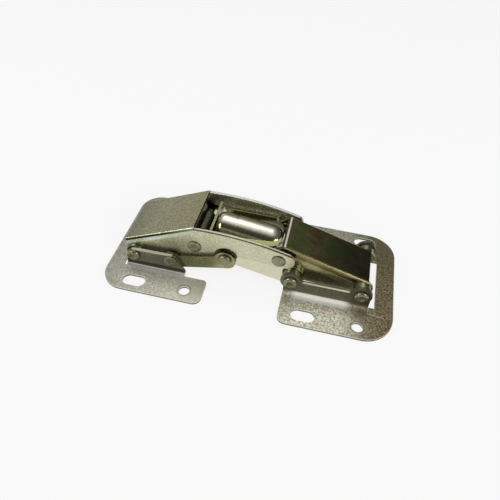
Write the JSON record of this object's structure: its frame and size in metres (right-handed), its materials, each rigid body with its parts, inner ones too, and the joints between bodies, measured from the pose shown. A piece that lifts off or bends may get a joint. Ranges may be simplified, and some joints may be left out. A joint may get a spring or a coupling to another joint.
{
  "type": "concealed hinge",
  "caption": "Surface-mounted concealed cabinet hinge with two screw plates, folding pressed-steel arms, side links and a spring lever, lying open and flat.",
  "frame": {"origin": "centre of the footprint, on the plane of both screw plates, with the hinge open", "axes": "+X from the cabinet plate to the door plate, +Y to the far side, +Z out of the cabinet side, up from the plates"},
  "size_m": [0.0894, 0.0434, 0.0195],
  "materials": {
    "cabinet_steel": "zinc plated, satin, faint warm tint",
    "door_steel": "zinc plated, satin, brownish tint",
    "cover_steel": "zinc plated, satin, olive tint",
    "channel_steel": "zinc plated, satin, bronze tint",
    "lever_steel": "zinc plated, bright, yellowish tint",
    "spring_wire": "bright drawn wire",
    "cup_steel": "zinc plated, satin",
    "rivet_steel": "zinc plated, turned"
  },
  "bodies": {
    "cabinet_plate": {"cabinet_plate": "cabinet_steel", "arm_root_pin": "rivet_steel", "arm_root_washer_near": "rivet_steel", "arm_root_washer_far": "rivet_steel", "link_root_rivet_near": "rivet_steel", "link_root_rivet_far": "rivet_steel"},
    "outer_channel": {"outer_channel": "cover_steel", "lever_root_pin": "rivet_steel", "snap_cam": "cup_steel", "knee_rivet_near": "rivet_steel", "knee_rivet_far": "rivet_steel"},
    "side_links": {"side_link_near": "channel_steel", "side_link_far": "channel_steel", "link_tip_rivet_near": "rivet_steel", "link_tip_rivet_far": "rivet_steel"},
    "spring_lever": {"spring_lever": "lever_steel", "lever_tip_pin": "rivet_steel", "spring_seat": "cup_steel", "coil_spring": "spring_wire", "lever_tip_washer_near": "rivet_steel", "lever_tip_washer_far": "rivet_steel"},
    "door_plate": {"door_plate": "door_steel", "channel_tip_pin": "rivet_steel", "channel_tip_washer_near": "rivet_steel", "channel_tip_washer_far": "rivet_steel"},
    "inner_channel": {"inner_channel": "channel_steel"},
    "plunger": {"pressure_plate": "cup_steel", "spring_cup": "cup_steel"}
  },
  "joints": [
    {"name": "arm_root", "type": "hinge", "parent": "cabinet_plate", "child": "outer_channel", "pos_m": [-0.0365, 0, 0.0053], "axis": [0, -1, 0], "range_deg": [0, 75.21]},
    {"name": "link_root", "type": "hinge", "parent": "cabinet_plate", "child": "side_links", "pos_m": [-0.0245, 0, 0.0056], "axis": [0, -1, 0], "range_deg": [0, 89.31]},
    {"name": "lever_root", "type": "hinge", "parent": "outer_channel", "child": "spring_lever", "pos_m": [-0.0172, 0, 0.0119], "axis": [0, -1, 0], "range_deg": [-80.57, 0]},
    {"name": "lever_tip", "type": "hinge", "parent": "spring_lever", "child": "door_plate", "pos_m": [0.0129, 0, 0.006], "axis": [0, -1, 0], "range_deg": [0, 95.36]},
    {"name": "channel_tip", "type": "hinge", "parent": "door_plate", "child": "inner_channel", "pos_m": [0.0343, 0, 0.006], "axis": [0, -1, 0], "range_deg": [-103.02, 0]},
    {"name": "plunger_slide", "type": "slide", "parent": "spring_lever", "child": "plunger", "axis": [-0.9903, 0, 0.1392], "range_m": [0, 0.00121], "deforming": ["coil_spring"]}
  ],
  "couplings": [
    {"joint": "link_root", "follows": "arm_root", "ratio": 1.1874},
    {"joint": "lever_root", "follows": "arm_root", "ratio": -1.0711},
    {"joint": "lever_tip", "follows": "arm_root", "ratio": 1.2678},
    {"joint": "channel_tip", "follows": "arm_root", "ratio": -1.3696},
    {"joint": "plunger_slide", "follows": "arm_root", "m_per_rad": 0.00091418}
  ]
}
